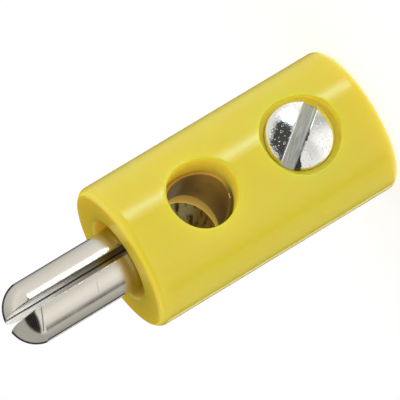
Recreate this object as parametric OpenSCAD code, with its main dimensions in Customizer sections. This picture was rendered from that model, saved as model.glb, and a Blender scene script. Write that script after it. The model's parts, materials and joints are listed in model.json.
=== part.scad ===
/* [Sleeve] */
// Outside diameter of the moulded insulating sleeve
sleeve_d = 6.15; // [5.9:0.05:7.5]
// Length of the sleeve, rear face to front face
sleeve_len = 11.2; // [10.4:0.1:15]
// Radius moulded on the outer edge of both ends
end_round = 0.35; // [0.1:0.05:0.6]
// Radius on the mouths of the bore
mouth_round = 0.12; // [0.02:0.02:0.3]
// Radial gap between the sleeve's bore and the metal core
sleeve_fit = 0.025; // [0.015:0.005:0.1]

/* [Metal core] */
// Diameter of the core inside the sleeve
core_d = 3.4; // [3.1:0.05:3.8]
// How far the core's rear end lies inside the sleeve
rear_recess = 0.5; // [0.2:0.05:0.9]
// How far the core's front shoulder lies inside the sleeve
front_recess = 1; // [0.7:0.05:1.3]
// Chamfer turned on both ends of the core
core_chamfer = 0.15; // [0.05:0.05:0.3]

/* [Cross socket] */
// Distance of the cross socket from the sleeve's rear face
cross_z = 7.7; // [7.2:0.1:8]
// Diameter of the socket through the core
cross_d = 2.46; // [2:0.02:2.7]
// How far the sleeve's hole stands back from the socket, all round
cross_margin = 0.16; // [0.05:0.01:0.25]

/* [Wire hole] */
// Diameter of the wire hole along the core
wire_d = 1.9; // [1.75:0.05:2.2]
// Depth of the wire hole's straight wall from the core's rear end
wire_depth = 4.5; // [4.2:0.1:5]
// Width of the countersink at the wire hole's mouth
wire_lead = 0.25; // [0.1:0.05:0.4]

/* [Split pin] */
// Diameter of the split pin
pin_d = 2.6; // [2.2:0.05:2.9]
// Diameter of the pin's tapered root at the core
root_d = 3; // [2.7:0.05:3.05]
// How far the taper of the root reaches out of the sleeve
root_reach = 0.05; // [0.02:0.01:0.2]
// How far the pin's tip stands out of the sleeve
pin_reach = 5.09; // [4:0.01:7]
// Length of the rounded nose
nose_len = 0.96; // [0.6:0.02:1.1]
// Half width of the blunt tip of the nose
nose_blunt = 0.12; // [0.04:0.02:0.2]
// Width of the saw slot at its root
slot_root_w = 0.42; // [0.2:0.02:0.5]
// Width of the saw slot at the tip, where the jaws are sprung apart
slot_tip_w = 0.44; // [0.3:0.02:0.6]
// How far the slot runs back inside the sleeve
slot_run_in = 0.5; // [0.1:0.05:0.6]

/* [Clamp screw] */
// Distance of the screw's axis from the sleeve's rear face
screw_z = 3.1; // [2.7:0.05:3.3]
// Outside diameter of the screw's thread
thread_d = 1.6; // [1.2:0.1:1.7]
// Radial gap between the thread and the core's tapped hole
thread_fit = 0.04; // [0.02:0.01:0.08]
// Gap left between the screw's tip and the wire hole
tip_gap = 0.1; // [0.05:0.01:0.2]
// Gap left between the screw's head and the core
head_gap = 0.29; // [0.1:0.01:0.4]
// Diameter of the screw's head
head_d = 2.74; // [2.4:0.02:2.8]
// Height of the head's straight side
head_side = 0.75; // [0.5:0.05:1]
// Height of the dome on the head
dome_h = 0.3; // [0.15:0.05:0.5]
// Radial gap between the head and the sleeve's hole
head_fit = 0.06; // [0.04:0.01:0.1]
// Width of the recess left round the head in the sleeve
head_margin = 0.24; // [0.14:0.02:0.4]
// How far the floor of that recess lies below the edge of the head
recess_sink = 0.25; // [0.1:0.05:0.4]
// Width of the screwdriver slot
driver_w = 0.54; // [0.4:0.02:0.7]
// Depth of the screwdriver slot below the top of the dome
driver_depth = 0.55; // [0.4:0.05:0.7]
// Turn of the screwdriver slot away from the plug's axis
driver_turn = 37; // [0:1:179]

/* [Hidden] */
$fn = 96;
past = 0.5;
drill_point = 118;
sleeve_r = sleeve_d / 2;
core_r = core_d / 2;
bore_r = core_r + sleeve_fit;
core_front = sleeve_len - front_recess;
pin_r = pin_d / 2;
root_r = root_d / 2;
root_z = sleeve_len + root_reach;
tip_z = sleeve_len + pin_reach;
nose_z = tip_z - nose_len;
nose_span = pin_r - nose_blunt;
nose_arc = (nose_span * nose_span + nose_len * nose_len) / (2 * nose_len);
slot_root_z = sleeve_len - slot_run_in;
wire_r = wire_d / 2;
wire_end = rear_recess + wire_depth;
wire_point = wire_r / tan(drill_point / 2);
thread_r = thread_d / 2;
tapped_r = thread_r + thread_fit;
head_r = head_d / 2;
screw_tip = wire_r + tip_gap;
head_seat = core_r + head_gap;
head_rim = head_seat + head_side;
head_top = head_rim + dome_h;
recess_floor = head_rim - recess_sink;
dome_arc = (head_r * head_r + dome_h * dome_h) / (2 * dome_h);

// A rectangle from (r0, z0) to (r1, z1) whose four corners are rounded,
// the inner two by round_in and the outer two by round_out
module rounded_section(r0, z0, r1, z1, round_in, round_out) {
    translate([r0 + round_in, z0])
        square([r1 - r0 - round_in - round_out, z1 - z0]);
    translate([r0, z0 + round_in])
        square([round_in, z1 - z0 - 2 * round_in]);
    translate([r1 - round_out, z0 + round_out])
        square([round_out, z1 - z0 - 2 * round_out]);
    for (z = [z0 + round_in, z1 - round_in])
        translate([r0 + round_in, z])
            circle(r = round_in);
    for (z = [z0 + round_out, z1 - round_out])
        translate([r1 - round_out, z])
            circle(r = round_out);
}

// Half section of a turned end: flat out to the radius blunt, then an arc down to the radius edge_r
module arc_end(blunt, edge_r, top, height, arc) {
    if (blunt > 0)
        translate([0, top - height])
            square([blunt, height]);
    intersection() {
        translate([blunt, top - arc])
            circle(r = arc);
        translate([blunt, top - height])
            square([edge_r - blunt, height]);
    }
}

// A round tool along the cross axis at height z, from start to stop as measured toward the screw's side
module cross_drill(r, z, start, stop) {
    translate([0, -start, z])
        rotate([90, 0, 0])
            cylinder(r = r, h = stop - start);
}

// Moulded tube with a hole through both walls for the socket and a stepped hole over the screw
module insulating_sleeve() {
    color([0.87, 0.8, 0.2])
        difference() {
            rotate_extrude()
                rounded_section(bore_r, 0, sleeve_r, sleeve_len, mouth_round, end_round);
            cross_drill(cross_d / 2 + cross_margin, cross_z, -sleeve_r - past, sleeve_r + past);
            cross_drill(head_r + head_margin, screw_z, recess_floor, sleeve_r + past);
            cross_drill(head_r + head_fit, screw_z, 0, sleeve_r + past);
        }
}

// Half section of the turned contact: chamfered core, tapered root, straight pin and rounded nose
module contact_section() {
    polygon([
        [0, rear_recess],
        [core_r - core_chamfer, rear_recess],
        [core_r, rear_recess + core_chamfer],
        [core_r, core_front - core_chamfer],
        [core_r - core_chamfer, core_front],
        [root_r, core_front],
        [pin_r, root_z],
        [pin_r, nose_z],
        [0, nose_z]
    ]);
    arc_end(nose_blunt, pin_r, tip_z, nose_len, nose_arc);
}

// Blind wire hole with a countersunk mouth and a drill point
module wire_drill() {
    translate([0, 0, rear_recess - past])
        cylinder(r = wire_r, h = wire_depth + past);
    translate([0, 0, rear_recess])
        cylinder(r1 = wire_r + wire_lead, r2 = wire_r, h = wire_lead);
    translate([0, 0, wire_end])
        cylinder(r1 = wire_r, r2 = 0, h = wire_point);
}

// Saw cut that splits the pin into two jaws, a little wider at the tip
module saw_slot() {
    spread = (slot_tip_w - slot_root_w) / (tip_z - slot_root_z);
    end_w = slot_tip_w + spread * past;
    translate([0, pin_r + past, 0])
        rotate([90, 0, 0])
            linear_extrude(height = 2 * (pin_r + past))
                polygon([
                    [-slot_root_w / 2, slot_root_z],
                    [slot_root_w / 2, slot_root_z],
                    [end_w / 2, tip_z + past],
                    [-end_w / 2, tip_z + past]
                ]);
}

// One turned piece: the core that takes wire, screw and a second plug, and the split pin in front of it
module contact_pin() {
    color([0.76, 0.74, 0.7])
        difference() {
            rotate_extrude()
                contact_section();
            cross_drill(cross_d / 2, cross_z, -core_r - past, core_r + past);
            cross_drill(tapped_r, screw_z, 0, core_r + past);
            wire_drill();
            saw_slot();
        }
}

// Half section of the screw about its own axis: shank, head and dome
module screw_section() {
    translate([0, screw_tip])
        square([thread_r, head_seat - screw_tip]);
    translate([0, head_seat])
        square([head_r, head_side]);
    arc_end(0, head_r, head_top, dome_h, dome_arc);
}

// Domed slotted screw that clamps the wire and keeps the sleeve on the core
module clamp_screw() {
    color([0.85, 0.86, 0.88])
        translate([0, 0, screw_z])
            rotate([90, 0, 0])
                difference() {
                    rotate_extrude()
                        screw_section();
                    rotate([0, 0, driver_turn])
                        translate([-driver_w / 2, -head_r - past, head_top - driver_depth])
                            cube([driver_w, 2 * (head_r + past), driver_depth + past]);
                }
}

insulating_sleeve();
contact_pin();
clamp_screw();
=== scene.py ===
import json
import math

import bpy
import numpy as np
from mathutils import Matrix, Vector


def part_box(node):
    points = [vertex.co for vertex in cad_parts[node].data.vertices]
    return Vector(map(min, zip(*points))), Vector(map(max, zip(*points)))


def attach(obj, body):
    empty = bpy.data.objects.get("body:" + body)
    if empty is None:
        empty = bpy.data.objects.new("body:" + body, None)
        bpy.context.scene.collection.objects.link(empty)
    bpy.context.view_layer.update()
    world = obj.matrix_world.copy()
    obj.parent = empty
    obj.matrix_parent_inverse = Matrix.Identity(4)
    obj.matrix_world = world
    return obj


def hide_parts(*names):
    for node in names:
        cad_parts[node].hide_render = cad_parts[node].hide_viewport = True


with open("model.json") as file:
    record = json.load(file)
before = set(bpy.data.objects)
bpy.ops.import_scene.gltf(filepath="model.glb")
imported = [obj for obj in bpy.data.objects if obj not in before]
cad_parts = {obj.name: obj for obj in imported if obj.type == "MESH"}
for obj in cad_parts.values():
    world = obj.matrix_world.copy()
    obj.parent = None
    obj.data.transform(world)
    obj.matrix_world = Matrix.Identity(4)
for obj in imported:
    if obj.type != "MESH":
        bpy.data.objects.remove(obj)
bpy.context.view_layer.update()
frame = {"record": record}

# Insulating sleeve
# One tube of yellow thermoplastic, injection moulded, with a smooth satin skin. Two holes face each other
# over the cross socket, and a stepped one takes the head of the clamp screw, which keeps the sleeve on.

MM = 0.001
mounts = {mount["name"]: mount for mount in frame["record"]["mounts"]}
screw_joint = frame["record"]["behaviour"]["joints"][0]
sleeve_high = np.array(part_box("insulating_sleeve")[1]) / MM
contact_low, contact_high = (np.array(corner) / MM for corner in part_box("contact_pin"))
screw_low, screw_high = (np.array(corner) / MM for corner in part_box("clamp_screw"))

sleeve_r = sleeve_high[0]
sleeve_len = sleeve_high[2]
core_r = contact_high[0]
head_r = screw_high[0]
cross_r = mounts["cross_socket"]["dims"]["r_mm"]
cross_z = mounts["cross_socket"]["pos_m"][2] / MM
screw_z = screw_joint["pos_m"][2] / MM

sleeve_fit = 0.025
cross_margin = 0.16
bore_r = core_r + sleeve_fit
sleeve_cross_r = cross_r + cross_margin
end_round = 0.35
mouth_round = 0.12
hole_round = 0.15
inner_hole_round = 0.012

dome_h = 0.3
shown_gap = 0.015
head_margin = 0.24
recess_sink = 0.25
head_top = -screw_low[1]
head_rim = head_top - dome_h
head_hole_r = head_r + shown_gap
recess_r = head_r + head_margin
recess_floor = head_rim - recess_sink
recess_round = 0.06
recess_corner = 0.05
recess_lip = 0.015

HALF_WINDOW = 80
ACROSS = 48
BESIDE = 8
TURNS = np.radians(np.concatenate([
    np.linspace(-HALF_WINDOW, HALF_WINDOW, ACROSS + 1)[:-1],
    np.linspace(HALF_WINDOW, 180 - HALF_WINDOW, BESIDE + 1)[:-1],
    np.linspace(180 - HALF_WINDOW, 180 + HALF_WINDOW, ACROSS + 1)[:-1],
    np.linspace(180 + HALF_WINDOW, 360 - HALF_WINDOW, BESIDE + 1),
]))
NEAR_SIDE = 0
FAR_SIDE = ACROSS + BESIDE


def lathe(radii, heights, turns=TURNS):
    """Turned wall: a row is a ring of its own radius and height, and a column's turn is
    measured from the screw's side (-Y) toward +X, so a point is (r sin turn, -r cos turn, z)."""
    radii = np.asarray(radii)[:, None]
    heights = np.asarray(heights)[:, None]
    ring = np.broadcast_to(turns, (len(radii), np.shape(turns)[-1]))
    return np.stack([radii * np.sin(ring), -radii * np.cos(ring), heights + 0 * ring], axis=-1)


def levels(stops, steps):
    """Heights from stop to stop, each stretch cut into its own number of even steps."""
    return np.interp(np.arange(sum(steps) + 1), np.concatenate([[0], np.cumsum(steps)]), stops)


def open_windows(rows, windows):
    """Which faces of a turned wall stay: none in a window, because a hole's own patch fills it."""
    keep = np.ones((rows - 1, len(TURNS) - 1), bool)
    for row, column in windows:
        keep[row:row + ACROSS, column:column + ACROSS] = False
    return keep


def bend(start, corner, end, steps):
    """Rounded edge: the quadratic curve that leaves start toward corner and reaches end from it."""
    t = np.linspace(0, 1, steps + 1)[1:, None, None]
    return (1 - t) ** 2 * start + 2 * t * (1 - t) * corner + t ** 2 * end


HOLE_ANGLES = np.linspace(1.25 * np.pi, 3.25 * np.pi, 4 * ACROSS + 1)


def hole_ring(radius, z, distance):
    """Ring round the axis of a cross hole at height z, in step with its mouth: the circle of a radius that
    lies at a distance from the plug's own axis, on the screw's side."""
    across = radius * np.cos(HOLE_ANGLES)
    return np.stack([across, np.full_like(across, -distance), z + radius * np.sin(HOLE_ANGLES)], axis=-1)


def hole_mouth(wall_r, hole_r, z, half_height, rounding, depth_sign):
    """Mouth of a round hole across a turned wall. Rows shrink from the four-sided window's edge to the hole's
    circle, both on the wall, then bend over the rim into the hole, toward +Y where depth_sign is 1."""
    side = np.linspace(-1, 1, ACROSS + 1)[:-1]
    ends = np.ones(ACROSS)
    edge_turn = np.radians(HALF_WINDOW) * np.concatenate([side, ends, -side, -ends, [-1]])
    edge_z = half_height * np.concatenate([-ends, side, ends, -side, [-1]])
    outer_r = hole_r + rounding
    share = np.linspace(0, 1, 11)[:, None]
    turn = (1 - share) * edge_turn + share * np.arcsin(outer_r * np.cos(HOLE_ANGLES) / wall_r)
    height = (1 - share) * edge_z + share * outer_r * np.sin(HOLE_ANGLES)
    wall = np.stack([wall_r * np.sin(turn), -wall_r * np.cos(turn), z + height], axis=-1)
    x = hole_r * np.cos(HOLE_ANGLES)
    corner = np.stack([x, -np.sqrt(wall_r ** 2 - x ** 2), z + hole_r * np.sin(HOLE_ANGLES)], axis=-1)
    below = corner + np.array([0, depth_sign * rounding, 0])
    return np.concatenate([wall, bend(wall[-1], corner, below, 6)])


def build(name, patches, sharp_over):
    """One closed mesh from patches in millimetres: each patch is a grid of points, or a grid and the faces
    of it that stay. Points that fall together are welded, and a quad that loses a corner becomes a
    triangle."""
    grids = [patch if isinstance(patch, tuple) else (patch, None) for patch in patches]
    starts = np.cumsum([0] + [grid.shape[0] * grid.shape[1] for grid, _ in grids])
    quads = []
    for (grid, keep), start in zip(grids, starts):
        index = start + np.arange(grid.shape[0] * grid.shape[1]).reshape(grid.shape[:2])
        corners = np.stack([index[:-1, :-1], index[:-1, 1:], index[1:, 1:], index[1:, :-1]], axis=-1)
        quads.append(corners.reshape(-1, 4) if keep is None else corners[keep])
    quads = np.concatenate(quads)
    points = np.concatenate([grid.reshape(-1, 3) for grid, _ in grids])
    weld = 2e-5
    off_grid = 0.318
    cells = np.round(points / weld + off_grid)
    _, first, welded = np.unique(cells, axis=0, return_index=True, return_inverse=True)
    quads = welded.reshape(-1)[quads]
    corner_stays = quads != np.roll(quads, -1, axis=1)
    not_folded = (quads[:, 0] != quads[:, 2]) & (quads[:, 1] != quads[:, 3])
    face = (corner_stays.sum(axis=1) >= 3) & not_folded
    sizes = corner_stays[face].sum(axis=1)
    loops = quads[face][corner_stays[face]]
    mesh = bpy.data.meshes.new(name)
    mesh.vertices.add(len(first))
    mesh.vertices.foreach_set("co", (points[first] * MM).ravel())
    mesh.loops.add(len(loops))
    mesh.loops.foreach_set("vertex_index", loops)
    mesh.polygons.add(len(sizes))
    mesh.polygons.foreach_set("loop_start", np.cumsum(sizes) - sizes)
    mesh.polygons.foreach_set("use_smooth", np.ones(len(sizes), bool))
    mesh.update(calc_edges=True)
    mesh.validate()
    mesh.set_sharp_from_angle(angle=math.radians(sharp_over))
    piece = bpy.data.objects.new(name, mesh)
    bpy.context.scene.collection.objects.link(piece)
    weighted = piece.modifiers.new("even_shading", "WEIGHTED_NORMAL")
    weighted.keep_sharp = True
    return piece


screw_window = recess_r + 0.4
cross_window = sleeve_cross_r + 0.45
hole_rows = [4, ACROSS, 6, ACROSS, 8]
screw_row = hole_rows[0]
cross_row = sum(hole_rows[:3])


def sleeve_wall(radius, rounding):
    """Rows of a wall of the sleeve, between the roundings of its ends, in step with the holes' windows."""
    stops = [rounding, screw_z - screw_window, screw_z + screw_window,
             cross_z - cross_window, cross_z + cross_window, sleeve_len - rounding]
    heights = levels(stops, hole_rows)
    return lathe(np.full(len(heights), radius), heights)


outer_wall = sleeve_wall(sleeve_r, end_round)
inner_wall = sleeve_wall(bore_r, mouth_round)
sleeve_faces = open_windows(len(outer_wall), [(screw_row, NEAR_SIDE), (cross_row, NEAR_SIDE),
                                              (cross_row, FAR_SIDE)])
quarter = np.linspace(0, np.pi / 2, 13)
front_radii = np.concatenate([sleeve_r - end_round + end_round * np.cos(quarter),
                              bore_r + mouth_round - mouth_round * np.sin(quarter)])
front_heights = np.concatenate([sleeve_len - end_round + end_round * np.sin(quarter),
                                sleeve_len - mouth_round + mouth_round * np.cos(quarter)])

recess_foot = hole_ring(recess_r, screw_z, recess_floor + recess_corner)
recess_edge = hole_ring(recess_r - recess_corner, screw_z, recess_floor)
lip_edge = hole_ring(head_hole_r + recess_lip, screw_z, recess_floor)
lip_foot = hole_ring(head_hole_r, screw_z, recess_floor - recess_lip)
screw_hole = np.concatenate([
    hole_mouth(sleeve_r, recess_r, screw_z, screw_window, recess_round, 1),
    recess_foot[None],
    bend(recess_foot, hole_ring(recess_r, screw_z, recess_floor), recess_edge, 5),
    lip_edge[None],
    bend(lip_edge, hole_ring(head_hole_r, screw_z, recess_floor), lip_foot, 4),
    hole_mouth(bore_r, head_hole_r, screw_z, screw_window, inner_hole_round, -1)[::-1],
])
HALF_TURN = np.array([-1, -1, 1])
cross_hole = np.concatenate([
    hole_mouth(sleeve_r, sleeve_cross_r, cross_z, cross_window, hole_round, 1),
    hole_mouth(bore_r, sleeve_cross_r, cross_z, cross_window, inner_hole_round, -1)[::-1],
])
sleeve = build("yellow_sleeve", [
    (outer_wall, sleeve_faces),
    (inner_wall[::-1], sleeve_faces[::-1]),
    lathe(front_radii, front_heights),
    lathe(front_radii[::-1], sleeve_len - front_heights[::-1]),
    screw_hole,
    cross_hole,
    cross_hole * HALF_TURN,
], sharp_over=50)


def node(tree, kind, inputs=None, **settings):
    """A shader node with its settings, whose inputs are set to values or joined to other nodes' sockets."""
    made = tree.nodes.new(kind)
    for name, value in settings.items():
        setattr(made, name, value)
    for name, value in (inputs or {}).items():
        if isinstance(value, bpy.types.NodeSocket):
            tree.links.new(value, made.inputs[name])
        else:
            made.inputs[name].default_value = value
    return made


def principled(name, **values):
    """A material on the Principled BSDF, with its plain values set; gives the material, its tree and
    the shader."""
    made = bpy.data.materials.new(name)
    made.use_nodes = True
    shader = made.node_tree.nodes["Principled BSDF"]
    for socket, value in values.items():
        shader.inputs[socket.replace("_", " ")].default_value = value
    return made, made.node_tree, shader


def millimetres(tree):
    """The piece's own coordinates in millimetres."""
    place = node(tree, "ShaderNodeTexCoord")
    scaled = node(tree, "ShaderNodeMapping", {"Vector": place.outputs["Object"], "Scale": (1 / MM,) * 3})
    return scaled.outputs["Vector"]


def maths(tree, operation, first, second=0.0):
    """One step of arithmetic on values or sockets."""
    return node(tree, "ShaderNodeMath", {0: first, 1: second}, operation=operation).outputs[0]


def product(tree, first, second):
    """Two masks or values, multiplied."""
    return maths(tree, "MULTIPLY", first, second)


def larger(tree, first, second):
    """The stronger of two masks."""
    return maths(tree, "MAXIMUM", first, second)


def inverse(tree, mask):
    """1 where a mask is 0."""
    return maths(tree, "SUBTRACT", 1.0, mask)


def split(tree, vector):
    """The three coordinates of a vector."""
    return node(tree, "ShaderNodeSeparateXYZ", {"Vector": vector}).outputs


def length(tree, vector):
    """Length of a vector."""
    return node(tree, "ShaderNodeVectorMath", {0: vector}, operation="LENGTH").outputs["Value"]


def axis_distance(tree, place):
    """Distance from the Z axis."""
    flat = node(tree, "ShaderNodeVectorMath", {0: place, 1: (1, 1, 0)}, operation="MULTIPLY")
    return length(tree, flat.outputs["Vector"])


def noise(tree, vector, scale, detail, **more):
    """Cloudy value about 0.5, with features about 1 / scale across."""
    inputs = {"Vector": vector, "Scale": scale, "Detail": detail, **more}
    return node(tree, "ShaderNodeTexNoise", inputs).outputs["Fac"]


def remap(tree, value, start, stop, low, high, **settings):
    """Runs straight from low to high while the value goes from start to stop."""
    inputs = {"Value": value, "From Min": start, "From Max": stop, "To Min": low, "To Max": high}
    return node(tree, "ShaderNodeMapRange", inputs, **settings).outputs["Result"]


def soft_step(tree, value, start, stop):
    """Smooth mask that is 0 at start and 1 at stop, in either order."""
    if start < stop:
        return remap(tree, value, start, stop, 0.0, 1.0, interpolation_type="SMOOTHSTEP")
    return remap(tree, value, stop, start, 1.0, 0.0, interpolation_type="SMOOTHSTEP")


def relief(tree, height, strength, depth, **under):
    """Normal bent by a height of some depth in millimetres, on top of another normal if one is given."""
    inputs = {"Height": height, "Strength": strength, "Distance": depth * MM, **under}
    return node(tree, "ShaderNodeBump", inputs).outputs["Normal"]


def blend(tree, mask, under, over):
    """Colour under, or over where the mask is 1."""
    return node(tree, "ShaderNodeMix", {"Factor": mask, 6: under, 7: over}, data_type="RGBA").outputs[2]


yellow = (0.765, 0.655, 0.054, 1)
warm_yellow = (0.735, 0.615, 0.044, 1)
# Painted light: a lighter, deeper yellow and a faint glow for the walls of the holes and the bore.
hole_painted_yellow = (0.84, 0.69, 0.04, 1)
# Painted shading: a lighter, more orange yellow for the sleeve's end faces.
end_face_painted_yellow = (0.92, 0.68, 0.04, 1)
# Painted shade: a much darker yellow for the walls on the far side.
far_hole_shade = (0.40, 0.29, 0.012, 1)
painted_hole_glow = (0.105, 0.077, 0.008, 1)
moulded, tree, shader = principled("moulded_yellow", IOR=1.5, Subsurface_Weight=1.0,
                                   Subsurface_Scale=1.6 * MM, Subsurface_Radius=(1.0, 0.55, 0.08),
                                   Emission_Strength=1.0)
place = millimetres(tree)
_, along_y, along_z = split(tree, place)
tint = blend(tree, noise(tree, place, 0.5, 3), yellow, warm_yellow)
inside = soft_step(tree, axis_distance(tree, place), sleeve_r - 0.01, sleeve_r - 0.2)
end_face = larger(tree, soft_step(tree, along_z, 0.06, 0.01),
                  soft_step(tree, along_z, sleeve_len - 0.06, sleeve_len - 0.01))
hollow = product(tree, inside, inverse(tree, end_face))
far_shade_mask = product(tree, hollow, soft_step(tree, along_y, 0.5, 1.5))
# Painted shading: the end faces take their own lighter, more orange yellow.
tint = blend(tree, inside, tint, end_face_painted_yellow)
# Painted light: the walls of the holes and the bore are lighter and deeper yellow than the skin.
tint = blend(tree, hollow, tint, hole_painted_yellow)
# Painted shade: the walls of the holes and the bore on the far side (+Y) are much darker.
tint = blend(tree, far_shade_mask, tint, far_hole_shade)
tree.links.new(tint, shader.inputs["Base Color"])
# Painted light: the same walls glow faintly, a painted glow standing for light carried in through the
# plastic.
hole_glow_colour = blend(tree, hollow, (0, 0, 0, 1), painted_hole_glow)
tree.links.new(hole_glow_colour, shader.inputs["Emission Color"])
skin = noise(tree, place, 5, 4)
satin = maths(tree, "ADD", remap(tree, skin, 0, 1, 0.13, 0.2), product(tree, hollow, 0.35))
tree.links.new(satin, shader.inputs["Roughness"])
tree.links.new(relief(tree, skin, 0.25, 0.01), shader.inputs["Normal"])

sleeve.data.materials.append(moulded)
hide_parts("insulating_sleeve")
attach(sleeve, "plug")

# Contact
# One piece of turned brass with bright nickel plating: the core that sits in the sleeve, cross-drilled for
# the pin of a second plug, bored for the wire and tapped for the screw, and the pin, sawn into two jaws.

pin_r = mounts["contact"]["dims"]["r_mm"]
wire_r = mounts["wire_entry"]["dims"]["r_mm"]
tapped_r = 0.84
core_rear = contact_low[2]
front_recess = 1.0
core_front = sleeve_len - front_recess
tip_z = contact_high[2]
core_chamfer = 0.15
root_r = 1.5
root_reach = 0.05
root_z = sleeve_len + root_reach
rim_round = 0.035
wire_rim_round = 0.02
wire_lead = 0.25
wire_depth = 4.5
wire_end = core_rear + wire_depth
drill_point = 118
wire_point = wire_r / math.tan(math.radians(drill_point / 2))
slot_run_in = 0.5
slot_root_z = sleeve_len - slot_run_in
slot_root_w = 0.42
slot_tip_w = 0.44
saw_round = 0.015
nose_len = 0.96
nose_blunt = 0.12
tip_land = 0.012
crease = 0.006
nose_span = pin_r - nose_blunt
nose_arc = (nose_span ** 2 + nose_len ** 2) / (2 * nose_len)

tapped_window = tapped_r + 0.2
socket_window = cross_r + 0.25
core_rows = [4, ACROSS, 6, ACROSS, 4]
core_heights = levels([core_rear + core_chamfer, screw_z - tapped_window, screw_z + tapped_window,
                       cross_z - socket_window, cross_z + socket_window,
                       core_front - core_chamfer], core_rows)
core_wall = lathe(np.full(len(core_heights), core_r), core_heights)
core_faces = open_windows(len(core_wall), [(core_rows[0], NEAR_SIDE), (sum(core_rows[:3]), NEAR_SIDE),
                                           (sum(core_rows[:3]), FAR_SIDE)])
wire_rows = [3, ACROSS, 3]
wire_heights = levels([core_rear + wire_lead, screw_z - tapped_window, screw_z + tapped_window,
                       wire_end], wire_rows)
wire_wall = lathe(np.full(len(wire_heights), wire_r), wire_heights)
wire_faces = open_windows(len(wire_wall), [(wire_rows[0], NEAR_SIDE)])

tapped_hole = np.concatenate([
    hole_mouth(core_r, tapped_r, screw_z, tapped_window, rim_round, 1),
    hole_mouth(wire_r, tapped_r, screw_z, tapped_window, wire_rim_round, -1)[::-1],
])
socket_near = hole_mouth(core_r, cross_r, cross_z, socket_window, rim_round, 1)
socket = np.concatenate([socket_near, (socket_near * np.array([1, -1, 1]))[::-1]])

JAW_STEPS = 50
SLOT_STEPS = 6
ROUND_STEPS = 5
FLAT_STEPS = 24


def jaw_outline(radius, width, rounding):
    """Outline of one jaw in each row: the pin's circle where it lies beyond half the slot's width, a small
    rounding tangent to circle and slot, the slot's flat face, and a second rounding back to the start."""
    radius, width, rounding = (np.broadcast_to(value, np.shape(radius))[:, None]
                               for value in (radius, width, rounding))
    centre_x = width / 2 + rounding
    centre_y = np.sqrt((radius - rounding) ** 2 - centre_x ** 2)
    opening = np.arctan2(centre_x, centre_y)
    turn = opening + (np.pi - 2 * opening) * np.linspace(0, 1, JAW_STEPS + 1)
    share = np.linspace(0, 1, ROUND_STEPS + 1)[1:]
    far_turn = np.pi / 2 - opening + (np.pi / 2 + opening) * share
    near_turn = np.pi + (np.pi / 2 + opening) * share
    flat = np.linspace(1, -1, FLAT_STEPS + 1)[1:]
    x = np.concatenate([radius * np.sin(turn), centre_x + rounding * np.cos(far_turn),
                        width / 2 + 0 * flat, centre_x + rounding * np.cos(near_turn)], axis=1)
    y = np.concatenate([-radius * np.cos(turn), centre_y + rounding * np.sin(far_turn),
                        centre_y * flat, -centre_y + rounding * np.sin(near_turn)], axis=1)
    return x, y, opening[:, 0]


nose_start = math.asin(1 - nose_len / nose_arc)
nose_stop = math.acos((slot_tip_w / 2 + tip_land - nose_blunt) / nose_arc)
nose_turn = np.linspace(nose_start, nose_stop, 25)
straight_z = levels([slot_root_z, root_z, tip_z - nose_len - crease], [6, 36])
jaw_z = np.concatenate([straight_z, tip_z - nose_arc + nose_arc * np.sin(nose_turn)])
jaw_r = np.concatenate([np.interp(straight_z, [core_front, root_z], [root_r, pin_r]),
                        nose_blunt + nose_arc * np.cos(nose_turn)])
slot_w = np.interp(jaw_z, [slot_root_z, tip_z], [slot_root_w, slot_tip_w])
saw_edge = np.minimum(saw_round, 0.3 * (jaw_r - slot_w / 2))
jaw_x, jaw_y, jaw_opening = jaw_outline(jaw_r, slot_w, saw_edge)
jaw = np.stack([jaw_x, jaw_y, jaw_z[:, None] + 0 * jaw_x], axis=-1)
jaw_tip = np.broadcast_to(jaw[-1].mean(axis=0), jaw[-1:].shape)
jaw = np.concatenate([jaw, jaw_tip])

root_opening = math.degrees(jaw_opening[0])
columns = np.arange(len(TURNS))
slot_column = ACROSS // 2
half_slot = SLOT_STEPS // 2
saw_columns = slot_column + np.array([half_slot - FAR_SIDE, -half_slot, half_slot, FAR_SIDE - half_slot,
                                      FAR_SIDE + half_slot, 2 * FAR_SIDE - half_slot])
saw_turns = np.array([root_opening - 180, -root_opening, root_opening, 180 - root_opening,
                      180 + root_opening, 360 - root_opening])
pin_turns = np.radians(np.interp(columns, saw_columns, saw_turns))

front_profile = [(core_r, core_front - core_chamfer), (core_r - core_chamfer, core_front),
                 (root_r, core_front), (jaw_r[0], slot_root_z)]
front_turns = np.stack([TURNS] * 2 + [pin_turns] * 2)
rear_profile = [(0, wire_end + wire_point), (wire_r, wire_end)]
mouth_profile = [(wire_r, core_rear + wire_lead), (wire_r + wire_lead, core_rear),
                 (core_r - core_chamfer, core_rear), (core_r, core_rear + core_chamfer)]

jaw_side = jaw[0, JAW_STEPS:]
other_side = (jaw_side * HALF_TURN)[::-1]
across = np.linspace(0, 1, SLOT_STEPS + 1)[:, None, None]
slot_floor = (1 - across) * other_side + across * jaw_side
slot_end = np.radians(np.linspace(-root_opening, root_opening, SLOT_STEPS + 1))
slot_floor[:, -1, :2] = jaw_r[0] * np.stack([np.sin(slot_end), -np.cos(slot_end)], axis=-1)
slot_floor[:, 0, :2] = jaw_r[0] * np.stack([np.sin(slot_end), np.cos(slot_end)], axis=-1)

contact = build("split_contact", [
    (core_wall, core_faces),
    tapped_hole,
    socket,
    lathe(*zip(*front_profile), turns=front_turns),
    jaw,
    jaw * HALF_TURN,
    slot_floor,
    lathe(*zip(*rear_profile)),
    (wire_wall[::-1], wire_faces[::-1]),
    lathe(*zip(*mouth_profile)),
], sharp_over=35)

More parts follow.
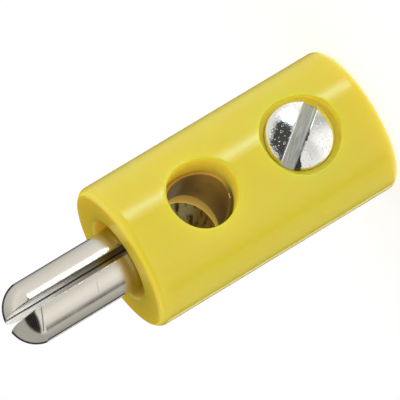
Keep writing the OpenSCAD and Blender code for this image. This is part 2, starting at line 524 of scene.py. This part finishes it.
turning = bpy.data.node_groups.new("turning_marks", "ShaderNodeTree")
turning.interface.new_socket("Position", in_out="INPUT", socket_type="NodeSocketFloat")
turning.interface.new_socket("Pitch", in_out="INPUT", socket_type="NodeSocketFloat")
turning.interface.new_socket("Height", in_out="OUTPUT", socket_type="NodeSocketFloat")
group_in = node(turning, "NodeGroupInput")
group_out = node(turning, "NodeGroupOutput")
feed = maths(turning, "DIVIDE", group_in.outputs["Position"], group_in.outputs["Pitch"])
grooves = node(turning, "ShaderNodeTexNoise", {"W": feed, "Scale": 1, "Detail": 4, "Roughness": 0.6},
               noise_dimensions="1D")
turning.links.new(grooves.outputs["Fac"], group_out.inputs["Height"])

handling = bpy.data.node_groups.new("handling_marks", "ShaderNodeTree")
handling.interface.new_socket("Vector", in_out="INPUT", socket_type="NodeSocketVector")
handling.interface.new_socket("Dulling", in_out="OUTPUT", socket_type="NodeSocketFloat")
handling.interface.new_socket("Height", in_out="OUTPUT", socket_type="NodeSocketFloat")
group_in = node(handling, "NodeGroupInput")
group_out = node(handling, "NodeGroupOutput")
smears = noise(handling, group_in.outputs["Vector"], 1.4, 5)
nicks = noise(handling, group_in.outputs["Vector"], 9, 3)
handling.links.new(smears, group_out.inputs["Dulling"])
handling.links.new(nicks, group_out.inputs["Height"])

nickel = (0.76, 0.715, 0.62, 1)
sawn = (0.84, 0.80, 0.70, 1)
# Painted shade: the sawn faces' colour near the slot's root.
sawn_shaded = (0.50, 0.44, 0.31, 1)
# A dark line along the middle of the sawn faces; its colour near the root is painted shade.
mid_face_line = (0.46, 0.43, 0.39, 1)
mid_face_line_shaded = (0.12, 0.09, 0.04, 1)
score = (0.08, 0.07, 0.05, 1)
bare_brass = (0.33, 0.22, 0.055, 1)
# Lighter olive mottling of the socket's brass wall, which is also painted light.
lit_brass = (0.53, 0.34, 0.06, 1)
# Painted reflection and shade for the ring of core round the socket: dark on the shaded side, brown on the
# lit side.
rim_shade = (0.16, 0.125, 0.04, 1)
rim_reflection_brown = (0.76, 0.54, 0.16, 1)
# Painted highlight for the socket's edge.
rim_highlight = (0.70, 0.50, 0.24, 1)
# Painted shade and reflection: a darker brown for the pin where it goes into the sleeve.
root_painted_shade = (0.40, 0.31, 0.13, 1)
# Painted highlight for burrs.
burr_highlight = (0.93, 0.88, 0.76, 1)
score_lines = [((0.425, 0, 1), 15.005, -0.24, -1.0, 0.75), ((0.27, 0, 1), 12.575, -0.5, -0.85, 0.2)]


def side_of(tree, point, normal):
    """How far a point or direction lies along a normal, from the plane through the origin."""
    return node(tree, "ShaderNodeVectorMath", {0: point, 1: normal}, operation="DOT_PRODUCT").outputs["Value"]


def off_cross_axis(tree, place, z):
    """A place as seen from the axis of a cross hole at height z, square to that axis."""
    inputs = {"Vector": place, "Location": (0, 0, -z), "Scale": (1, 0, 1)}
    return node(tree, "ShaderNodeMapping", inputs).outputs["Vector"]


plated, tree, shader = principled("nickel_plate", Specular_IOR_Level=0.0)
place = millimetres(tree)
along_x, along_y, along_z = split(tree, place)
marks = node(tree, "ShaderNodeGroup", {"Vector": place}, node_tree=handling)
rings = node(tree, "ShaderNodeGroup", {"Position": along_z, "Pitch": 0.04}, node_tree=turning)
slot_spread = (slot_tip_w - slot_root_w) / 2 / (tip_z - slot_root_z)
slot_edge = slot_root_w / 2 - slot_root_z * slot_spread
in_slot = maths(tree, "SUBTRACT", maths(tree, "ABSOLUTE", along_x), product(tree, along_z, slot_spread))
sawn_mask = product(tree, soft_step(tree, in_slot, slot_edge + 0.02, slot_edge + 0.005),
                    soft_step(tree, along_z, slot_root_z - 0.06, slot_root_z - 0.02))
mid_line = soft_step(tree, maths(tree, "ABSOLUTE", along_y), 0.22, 0.13)
line_mask = product(tree, sawn_mask, mid_line)
from_socket = length(tree, off_cross_axis(tree, place, cross_z))
socket_mask = soft_step(tree, from_socket, cross_r + 0.02, cross_r + 0.005)
rim_mask = product(tree, soft_step(tree, from_socket, cross_r + 0.01, cross_r + 0.025),
                   soft_step(tree, from_socket, cross_r + 0.08, cross_r + 0.05))
burr_mask = product(tree, rim_mask, soft_step(tree, noise(tree, place, 5, 2), 0.6, 0.66))
toward_root = soft_step(tree, along_z, tip_z - nose_len, sleeve_len + 0.6)
at_sleeve = soft_step(tree, along_z, sleeve_len + 0.75, sleeve_len + 0.1)
# Painted shade and a painted brownish reflection: the contact is darker and browner from just beyond the
# sleeve's front face inward.
colour = blend(tree, at_sleeve, nickel, root_painted_shade)
# Sawn faces of the slot, in painted shade that deepens toward the slot's root.
colour = blend(tree, sawn_mask, colour, blend(tree, toward_root, sawn, sawn_shaded))
# A dark, non-metallic line along the middle of the sawn faces, darkening toward the root in painted shade.
colour = blend(tree, line_mask, colour, blend(tree, toward_root, mid_face_line, mid_face_line_shaded))
round_socket = soft_step(tree, from_socket, sleeve_cross_r + 0.08, sleeve_cross_r + 0.04)
lit_side = soft_step(tree, along_x, -0.5, 0.6)
# Painted reflection and shade: the ring of core round the socket, inside the sleeve's hole, is brown like the
# yellow walls it would reflect, and dark toward -X.
colour = blend(tree, round_socket, colour, blend(tree, lit_side, rim_shade, rim_reflection_brown))
# Painted highlight: a thin pale line on the socket's edge, on the +X side.
rim_highlight_mask = product(tree, soft_step(tree, from_socket, cross_r + 0.05, cross_r + 0.03),
                   soft_step(tree, along_x, 0.3, 0.8))
colour = blend(tree, rim_highlight_mask, colour, rim_highlight)
# The socket's bare brass wall, mottled with a lighter olive only on its lit middle: partly real dulling,
# partly painted light.
mid_wall = product(tree, lit_side, soft_step(tree, along_x, 1.15, 0.75))
lit_mottle = product(tree, soft_step(tree, marks.outputs["Dulling"], 0.25, 0.5), mid_wall)
colour = blend(tree, socket_mask, colour, blend(tree, lit_mottle, bare_brass, lit_brass))
edge_mask = product(tree, soft_step(tree, in_slot, slot_edge + 0.012, slot_edge + 0.03),
                    soft_step(tree, in_slot, slot_edge + 0.09, slot_edge + 0.06))
edge_burrs = node(tree, "ShaderNodeTexNoise", {"W": along_z, "Scale": 3.2, "Detail": 1},
                  noise_dimensions="1D").outputs["Fac"]
on_straight = product(tree, soft_step(tree, along_z, sleeve_len + 0.3, sleeve_len + 0.5),
                      soft_step(tree, along_z, tip_z - nose_len, tip_z - nose_len - 0.2))
saw_burr = product(tree, product(tree, edge_mask, on_straight), soft_step(tree, edge_burrs, 0.56, 0.6))
# Burrs on the socket's rim and along the slot's edges: painted bright highlight specks, the slot's burrs also
# with a real bump.
colour = blend(tree, larger(tree, burr_mask, saw_burr), colour, burr_highlight)
dull_lines = larger(tree, line_mask, product(tree, saw_burr, 0.7))
for lean, height, start, stop, depth in score_lines:
    off_line = maths(tree, "ABSOLUTE", maths(tree, "SUBTRACT", side_of(tree, place, lean), height))
    reach = product(tree, soft_step(tree, along_x, start, start - 0.04),
                    soft_step(tree, along_x, stop - 0.04, stop))
    scored = product(tree, soft_step(tree, off_line, 0.04, 0.015), product(tree, reach, depth))
    colour = blend(tree, scored, colour, score)
    dull_lines = larger(tree, dull_lines, scored)
tree.links.new(colour, shader.inputs["Base Color"])
kept_bright = larger(tree, product(tree, socket_mask, 0.2), burr_mask)
# The ring is made mostly non-metallic, so that its painted colour shows.
ring_matte = product(tree, maths(tree, "SUBTRACT", round_socket, kept_bright), 0.85)
tree.links.new(inverse(tree, larger(tree, dull_lines, ring_matte)), shader.inputs["Metallic"])
dull = remap(tree, marks.outputs["Dulling"], 0.35, 0.7, 0.08, 0.17)
sawn_rough = maths(tree, "ADD", product(tree, toward_root, 0.22), 0.06)
rougher = larger(tree, product(tree, sawn_mask, sawn_rough), product(tree, round_socket, 0.22))
tree.links.new(maths(tree, "ADD", dull, rougher), shader.inputs["Roughness"])
ring_relief = relief(tree, rings.outputs["Height"], 0.3, 0.004)
nick_height = product(tree, marks.outputs["Height"], soft_step(tree, socket_mask, 1.0, 0.0))
nick_relief = relief(tree, nick_height, 0.15, 0.006, Normal=ring_relief)
burr_relief = relief(tree, saw_burr, 0.9, 0.03, Normal=nick_relief)
tree.links.new(burr_relief, shader.inputs["Normal"])

contact.data.materials.append(plated)
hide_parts("contact_pin")
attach(contact, "plug")

# Clamp screw
# A short slotted screw of bright plated steel, turned and threaded, sunk in its hole in the sleeve. Its tip
# presses the wire against the core, and its low domed head is kept clear of the core by the thread.

shank_tip = -screw_high[1]
head_side = 0.75
head_seat = head_rim - head_side
dome_arc = (head_r ** 2 + dome_h ** 2) / (2 * dome_h)
driver_w = 0.54
driver_depth = 0.55
driver_floor = head_top - driver_depth
driver_turn = math.radians(37)
slot_edge_round = 0.055
head_edge_round = 0.1
thread_r = 0.8
thread_root_r = 0.62
thread_pitch = 0.35
head_run_out = 0.15
tip_run_out = 0.12


def dome(x, y):
    """Height of the head's dome: a ball of radius dome_arc whose top is the top of the head."""
    return head_top - dome_arc + np.sqrt(dome_arc ** 2 - x ** 2 - y ** 2)


corner_turn = math.asin(driver_w / 2 / head_r)
half_turns = np.linspace(corner_turn, np.pi - corner_turn, JAW_STEPS + 1)
side_x = head_r * np.sin(half_turns)
side_y = head_r * np.cos(half_turns)
wall_x = np.full_like(side_x, driver_w / 2)
land = side_x - wall_x
inner_edge = np.minimum(slot_edge_round, 0.4 * land)
outer_edge = np.minimum(head_edge_round, 0.4 * land)


def head_row(x, z):
    """A row of the half head: the same lengthwise places along the slot, at its own distance x and
    height z."""
    return np.stack([x, side_y, np.broadcast_to(z, x.shape)], axis=-1)


share = np.linspace(0, 1, 17)[:, None]
land_x = (1 - share) * (wall_x + inner_edge) + share * (side_x - outer_edge)
lands = np.stack([land_x, np.broadcast_to(side_y, land_x.shape), dome(land_x, side_y)], axis=-1)
wall_foot = head_row(wall_x, driver_floor)
wall_head = head_row(wall_x, dome(wall_x, side_y) - inner_edge)
side_head = head_row(side_x, dome(side_x, side_y) - outer_edge)
half_head = np.concatenate([
    wall_foot[None],
    wall_head[None],
    bend(wall_head, head_row(wall_x, dome(wall_x, side_y)), lands[0], 5),
    lands[1:],
    bend(lands[-1], head_row(side_x, dome(side_x, side_y)), side_head, 7),
    head_row(side_x, driver_floor)[None],
])

driver_slot = (1 - across) * (wall_foot * np.array([-1, 1, 1])) + across * wall_foot
slot_end = np.linspace(-corner_turn, corner_turn, SLOT_STEPS + 1)
driver_slot[:, 0, :2] = head_r * np.stack([np.sin(slot_end), np.cos(slot_end)], axis=-1)
driver_slot[:, -1, :2] = head_r * np.stack([np.sin(slot_end), -np.cos(slot_end)], axis=-1)

head_columns = [0, JAW_STEPS, FAR_SIDE, FAR_SIDE + JAW_STEPS, 2 * FAR_SIDE]
head_stops = [corner_turn, np.pi - corner_turn, np.pi + corner_turn, 2 * np.pi - corner_turn,
              2 * np.pi + corner_turn]
head_turns = np.interp(columns, head_columns, head_stops)


def screw_ring(radii, heights):
    """Rings about the screw's own axis, each row with its own radius and height: a point is
    (r sin turn, r cos turn, z)."""
    radii, heights = np.broadcast_arrays(radii, heights)
    radii = radii + 0 * head_turns
    heights = heights + 0 * head_turns
    return np.stack([radii * np.sin(head_turns), radii * np.cos(head_turns), heights], axis=-1)


def ease(value):
    """Smooth step from 0 to 1."""
    t = np.clip(value, 0, 1)
    return t * t * (3 - 2 * t)


thread_z = np.linspace(head_seat, shank_tip, 41)[:, None]
phase = thread_z / thread_pitch + head_turns / (2 * np.pi)
flank = np.clip(1.3 * (1 - np.abs(2 * (phase % 1) - 1)) - 0.1, 0, 1)
run_out = ease((head_seat - thread_z) / head_run_out) * ease((thread_z - shank_tip) / tip_run_out)
thread = screw_ring(thread_root_r + (thread_r - thread_root_r) * flank * run_out, thread_z)
under_radii = np.array([head_r, head_r, head_r - 0.02, head_r - 0.06, thread_root_r])
under_heights = np.array([driver_floor, head_seat + 0.06, head_seat + 0.02, head_seat, head_seat])
underside = screw_ring(under_radii[:, None], under_heights[:, None])
tip_disc = screw_ring(np.array([thread_root_r, 0.0])[:, None], shank_tip)


def seat_screw(grid):
    """Turns the slot to its angle about the screw's axis, then lays that axis along -Y at the screw's
    height."""
    x = grid[..., 0] * math.cos(driver_turn) - grid[..., 1] * math.sin(driver_turn)
    y = grid[..., 0] * math.sin(driver_turn) + grid[..., 1] * math.cos(driver_turn)
    return np.stack([x, -grid[..., 2], y + screw_z], axis=-1)


screw = build("slotted_screw", [seat_screw(grid) for grid in (
    half_head, half_head * HALF_TURN, driver_slot, underside, thread, tip_disc)], sharp_over=35)

steel = (0.86, 0.85, 0.81, 1)
slot_steel = (0.46, 0.45, 0.39, 1)
slot_pale = (0.64, 0.63, 0.57, 1)
# Painted highlight for the slot's floor.
slot_highlight = (0.76, 0.76, 0.70, 1)
grime = (0.05, 0.045, 0.04, 1)
grime_reaches = [(-1.37, -0.1), (-0.35, -0.1), (-0.25, 0.06), (0.15, 0.07), (0.4, 0.02), (0.75, 0.03),
                 (1.0, 0.1), (1.2, 0.24)]
grime_low = -0.1
grime_high = 0.3


def grey(level):
    """A colour without hue."""
    return (level, level, level, 1)


def ramp(tree, share, stops):
    """Grey level that runs straight from stop to stop: pairs of a place and a level, both from 0 to 1."""
    made = node(tree, "ShaderNodeValToRGB", {"Fac": share})
    elements = made.color_ramp.elements
    elements.remove(elements[1])
    elements[0].position = stops[0][0]
    elements[0].color = grey(stops[0][1])
    for place, level in stops[1:]:
        elements.new(place).color = grey(level)
    return made.outputs["Color"]


bright, tree, shader = principled("bright_plate", Metallic=1.0)
place = millimetres(tree)
off_axis = off_cross_axis(tree, place, screw_z)
rings = node(tree, "ShaderNodeGroup", {"Position": length(tree, off_axis), "Pitch": 0.05}, node_tree=turning)
marks = node(tree, "ShaderNodeGroup", {"Vector": place}, node_tree=handling)
_, along_y, _ = split(tree, place)
floor_mask = soft_step(tree, along_y, -driver_floor - 0.03, -driver_floor - 0.01)
across_slot = side_of(tree, off_axis, (math.cos(driver_turn), 0, math.sin(driver_turn)))
along_slot = side_of(tree, off_axis, (-math.sin(driver_turn), 0, math.cos(driver_turn)))
slot_share = remap(tree, along_slot, -head_r, head_r, 0, 1)
grime_stops = [((spot / head_r + 1) / 2, (reach - grime_low) / (grime_high - grime_low))
               for spot, reach in grime_reaches]
grime_reach = remap(tree, ramp(tree, slot_share, grime_stops), 0, 1, grime_low, grime_high)
specks = noise(tree, place, 6, 4, Roughness=0.6)
ragged = product(tree, maths(tree, "SUBTRACT", specks, 0.5), 0.2)
grime_edge = maths(tree, "ADD", grime_reach, ragged)
from_edge = maths(tree, "SUBTRACT", product(tree, across_slot, -1.0), driver_w / 2)
grime_mask = product(tree, soft_step(tree, maths(tree, "SUBTRACT", grime_edge, from_edge), 0.0, 0.03),
                     soft_step(tree, from_edge, -0.02, 0.0))
streak_place = node(tree, "ShaderNodeCombineXYZ", {"X": product(tree, across_slot, 9.0), "Y": along_slot})
streaks = noise(tree, streak_place.outputs["Vector"], 1.6, 5)
floor_shade = blend(tree, soft_step(tree, streaks, 0.35, 0.68), slot_steel, slot_pale)
# Painted highlight: a thin pale line along the slot's floor, near one wall, on part of its length.
slot_highlight_line = soft_step(tree, maths(tree, "ABSOLUTE", maths(tree, "ADD", from_edge, 0.075)), 0.05, 0.01)
slot_highlight_mask = product(tree, slot_highlight_line, soft_step(tree, along_slot, 0.7, 0.4))
floor_shade = blend(tree, slot_highlight_mask, floor_shade, slot_highlight)
colour = blend(tree, floor_mask, steel, floor_shade)
tree.links.new(blend(tree, grime_mask, colour, grime), shader.inputs["Base Color"])
dull = remap(tree, marks.outputs["Dulling"], 0.35, 0.7, 0.06, 0.14)
tree.links.new(maths(tree, "ADD", dull, product(tree, floor_mask, 0.3)), shader.inputs["Roughness"])
ring_relief = relief(tree, rings.outputs["Height"], 0.2, 0.004)
pits = soft_step(tree, noise(tree, place, 9, 0), 0.68, 0.75)
nick_height = maths(tree, "SUBTRACT", marks.outputs["Height"], product(tree, pits, 2.0))
nick_relief = relief(tree, nick_height, 0.5, 0.01, Normal=ring_relief)
tree.links.new(nick_relief, shader.inputs["Normal"])

screw.data.materials.append(bright)
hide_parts("clamp_screw")
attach(screw, "screw")

# Floor and background
# A plain white sheet under the plug. The camera sees it lifted toward white, so that it runs into the white
# background and keeps only a soft shadow. A small mottled brown patch of it lies far behind the plug, where
# the camera looks through the cross socket: painted shade, standing for a surface in deep shadow.


def seen_rays(tree):
    """1 for rays that look at the background: from the camera, off gloss or through clear material."""
    ray = node(tree, "ShaderNodeLightPath")
    either = larger(tree, ray.outputs["Is Camera Ray"], ray.outputs["Is Glossy Ray"])
    return larger(tree, either, ray.outputs["Is Transmission Ray"])


def backdrop(name, grid, material):
    """A surface that isn't part of the plug: a grid of points in millimetres, in one material."""
    made = build(name, [grid], sharp_over=60)
    made.data.materials.append(material)
    return made


sheet_edge = np.array([-3000.0, 3000.0])
# Painted shade: place, size and turn of a dark mottled patch on the floor behind the plug.
shade_patch_place = (5.25, 27.05)
shade_patch_reach = (2.95, 1.1)
shade_patch_turn = math.radians(57.6)
shade_patch_brown = (0.15, 0.085, 0.014, 1)
shade_patch_olive = (0.25, 0.21, 0.085, 1)
shade_patch_dark = (0.05, 0.03, 0.006, 1)
sheet_x, sheet_y = np.meshgrid(sheet_edge, sheet_edge)
sheet, tree, shader = principled("white_sheet", Roughness=0.9, Specular_IOR_Level=0.0,
                                 Emission_Color=(1, 1, 1, 1))
seen = seen_rays(tree)
place = millimetres(tree)
from_shade_patch = node(tree, "ShaderNodeMapping", {
    "Vector": place,
    "Location": (*shade_patch_place, 0),
    "Rotation": (0, 0, shade_patch_turn),
    "Scale": (*shade_patch_reach, 1),
}, vector_type="TEXTURE").outputs["Vector"]
# Painted shade: the patch's mask and its dark brown and olive mottling.
patch = soft_step(tree, axis_distance(tree, from_shade_patch), 1.0, 0.94)
mottle_place = node(tree, "ShaderNodeMapping", {"Vector": place, "Scale": (1, 0.28, 1)})
mottling = noise(tree, mottle_place.outputs["Vector"], 2.8, 3)
along_x, _, _ = split(tree, place)
shade_patch_side = soft_step(tree, along_x, shade_patch_place[0] - 0.3, shade_patch_place[0] + 0.6)
shade_patch_ground = blend(tree, shade_patch_side, shade_patch_brown, shade_patch_olive)
shade_patch_colour = blend(tree, soft_step(tree, mottling, 0.37, 0.52), shade_patch_dark, shade_patch_ground)
sheet_colour = blend(tree, seen, grey(0.88), grey(0.5))
tree.links.new(blend(tree, patch, sheet_colour, shade_patch_colour), shader.inputs["Base Color"])
lift = remap(tree, seen, 0, 1, 0.35, 0.66)
tree.links.new(product(tree, lift, inverse(tree, patch)), shader.inputs["Emission Strength"])
floor = backdrop("floor", np.stack([sheet_x, sheet_y, 0 * sheet_x], axis=-1), sheet)
floor.visible_glossy = False

world = bpy.data.worlds.new("studio")
bpy.context.scene.world = world
world.use_nodes = True
tree = world.node_tree
sky_x, _, sky_z = split(tree, node(tree, "ShaderNodeTexCoord").outputs["Generated"])
slope = maths(tree, "ADD", sky_z, product(tree, sky_x, -0.1))
shade = remap(tree, slope, 0, 1, 1.28, 0.38, clamp=False)
seen = seen_rays(tree)
strength = larger(tree, seen, product(tree, shade, inverse(tree, seen)))
tree.links.new(strength, tree.nodes["Background"].inputs["Strength"])
tree.nodes["Background"].inputs["Color"].default_value = (1, 1, 1, 1)

# Light tent
# A ball of white cloth round the plug, lit from outside, which only polished surfaces see: a narrow strip
# light on one side, pale panels, and dark gaps where the camera looks in and the cloth ends overhead.

tent_r = 300.0
tent_peak = 7.0
cool_white = (0.62, 1.0, 1.05, 1)
low_light = [(-173, 0.1), (-171.5, 1.2), (-165, 1.2), (-163, 0.03), (-153, 0.03), (-146, 0.33), (-138, 0.41),
             (-107, 0.58), (-101, 0.5), (-97, 0.17), (-93, 0.17), (-89, 0.3), (-84, 0.43), (-78, 0.75),
             (-73, 0.85), (-54, 1.03), (-37, 0.97), (-20, 0.75), (25.5, 0.72), (27, 2.3), (33, 2.5),
             (35.5, 6.3), (42, 6.3), (44.5, 2.5), (50, 2.3), (51.5, 1.0), (61, 0.92), (84, 0.84),
             (110, 0.72), (128, 0.6), (138, 0.25), (150, 0.1)]
high_light = [(-180, 0.42), (-115, 0.46), (-95, 0.9), (-15, 0.9), (5, 0.75), (20, 0.8), (60, 0.85),
              (80, 0.92), (100, 0.74), (130, 0.62), (180, 0.42)]
lens_sides = [(-1, 0.882, 0.757), (-1, -0.697, 0.747), (0, -1, 0.471), (0.813, 0.581, -0.085), (0, 1, 0.19)]
tent_rise = np.linspace(-np.pi / 2, np.pi / 2, 33)
cloth = bpy.data.materials.new("tent_cloth")
cloth.use_nodes = True
tree = cloth.node_tree
tree.nodes.remove(tree.nodes["Principled BSDF"])
toward = node(tree, "ShaderNodeVectorMath", {0: millimetres(tree)}, operation="NORMALIZE").outputs["Vector"]
way_x, way_y, way_z = split(tree, toward)
bearing = maths(tree, "ARCTAN2", way_x, product(tree, way_y, -1.0))
round_share = remap(tree, bearing, -math.pi, math.pi, 0, 1)


def panel(tree, share_round, light):
    """Brightness round the tent, through pairs of bearing in degrees and radiance."""
    stops = [(degrees / 360 + 0.5, radiance / tent_peak) for degrees, radiance in light]
    return ramp(tree, share_round, stops)


def glow_grey(radiance):
    """The grey that stands for a radiance of the cloth."""
    return grey(radiance / tent_peak)


low = panel(tree, round_share, low_light)
off_shadow = maths(tree, "ABSOLUTE", maths(tree, "SUBTRACT", bearing, math.radians(22)))
table_shade = blend(tree, soft_step(tree, off_shadow, 0.6, 0.0), glow_grey(1.15), glow_grey(0.55))
table = blend(tree, soft_step(tree, way_z, -0.32, -0.5), low, table_shade)
high = panel(tree, round_share, high_light)
overhead = product(tree, soft_step(tree, way_z, 0.345, 0.375), soft_step(tree, way_x, -0.03, -0.06))
roof_edge = soft_step(tree, side_of(tree, toward, (-0.407, -0.860, -0.309)), -0.03, 0.14)
high = blend(tree, overhead, high, blend(tree, roof_edge, glow_grey(0.48), glow_grey(0.015)))
behind = soft_step(tree, side_of(tree, toward, (0.187, 0.944, -0.272)), 0.72, 0.80)
high = blend(tree, behind, high, glow_grey(0.03))
light = blend(tree, soft_step(tree, way_z, -0.19, -0.12), table, high)
rise = maths(tree, "ARCSINE", way_z)
chart = node(tree, "ShaderNodeCombineXYZ", {"X": bearing, "Y": rise, "Z": 1.0}).outputs["Vector"]
lens = side_of(tree, chart, lens_sides[0])
for side in lens_sides[1:]:
    lens = maths(tree, "MINIMUM", lens, side_of(tree, chart, side))
light = blend(tree, soft_step(tree, lens, -0.01, 0.02), light, glow_grey(0.06))
lamp_tint = blend(tree, soft_step(tree, light, 2.0 / tent_peak, 4.0 / tent_peak), grey(1.0), cool_white)
lit = node(tree, "ShaderNodeMix", {"Factor": 1.0, 6: light, 7: lamp_tint}, data_type="RGBA",
           blend_type="MULTIPLY")
glow = node(tree, "ShaderNodeEmission", {"Color": lit.outputs[2], "Strength": tent_peak})
tree.links.new(glow.outputs["Emission"], tree.nodes["Material Output"].inputs["Surface"])
tent = backdrop("light_tent", lathe(tent_r * np.cos(tent_rise), tent_r * np.sin(tent_rise))[::-1], cloth)
tent.visible_camera = False
tent.visible_diffuse = False
tent.visible_transmission = False
tent.visible_volume_scatter = False
tent.visible_shadow = False

# Lamp
# One large soft lamp above the strip light's side, for a little shape on the sleeve.

lamp_place = Vector((0.10, -0.12, 0.14))
lamp = bpy.data.lights.new("soft_lamp", "AREA")
lamp.shape = "DISK"
lamp.size = 0.12
lamp.energy = 0.03
lamp_object = bpy.data.objects.new("soft_lamp", lamp)
lamp_object.location = lamp_place
lamp_object.rotation_euler = lamp_place.to_track_quat("Z", "Y").to_euler()
lamp_object.visible_glossy = False
bpy.context.scene.collection.objects.link(lamp_object)

# Camera
# A long lens a little above the plug's middle, turned so that the standing plug points to the lower left.

camera_bearing = math.radians(-11.21)
camera_rise = math.radians(15.82)
camera_roll = math.radians(-121.06)
camera_distance = 267.83 * MM
camera_aim = Vector((0.2097, -0.8095, 7.341)) * MM
focal_px = 6917.5
frame_px = 400

camera = bpy.data.cameras.new("camera")
camera.sensor_width = 36
camera.lens = focal_px * camera.sensor_width / frame_px
camera.clip_start = 1 * MM
camera_object = bpy.data.objects.new("camera", camera)
turn = (Matrix.Rotation(camera_bearing, 4, "Z") @ Matrix.Rotation(math.pi / 2 - camera_rise, 4, "X")
        @ Matrix.Rotation(camera_roll, 4, "Z"))
camera_object.matrix_world = Matrix.Translation(camera_aim + turn @ Vector((0, 0, camera_distance))) @ turn
bpy.context.scene.collection.objects.link(camera_object)
bpy.context.scene.camera = camera_object
bpy.context.scene.view_settings.view_transform = "Standard"
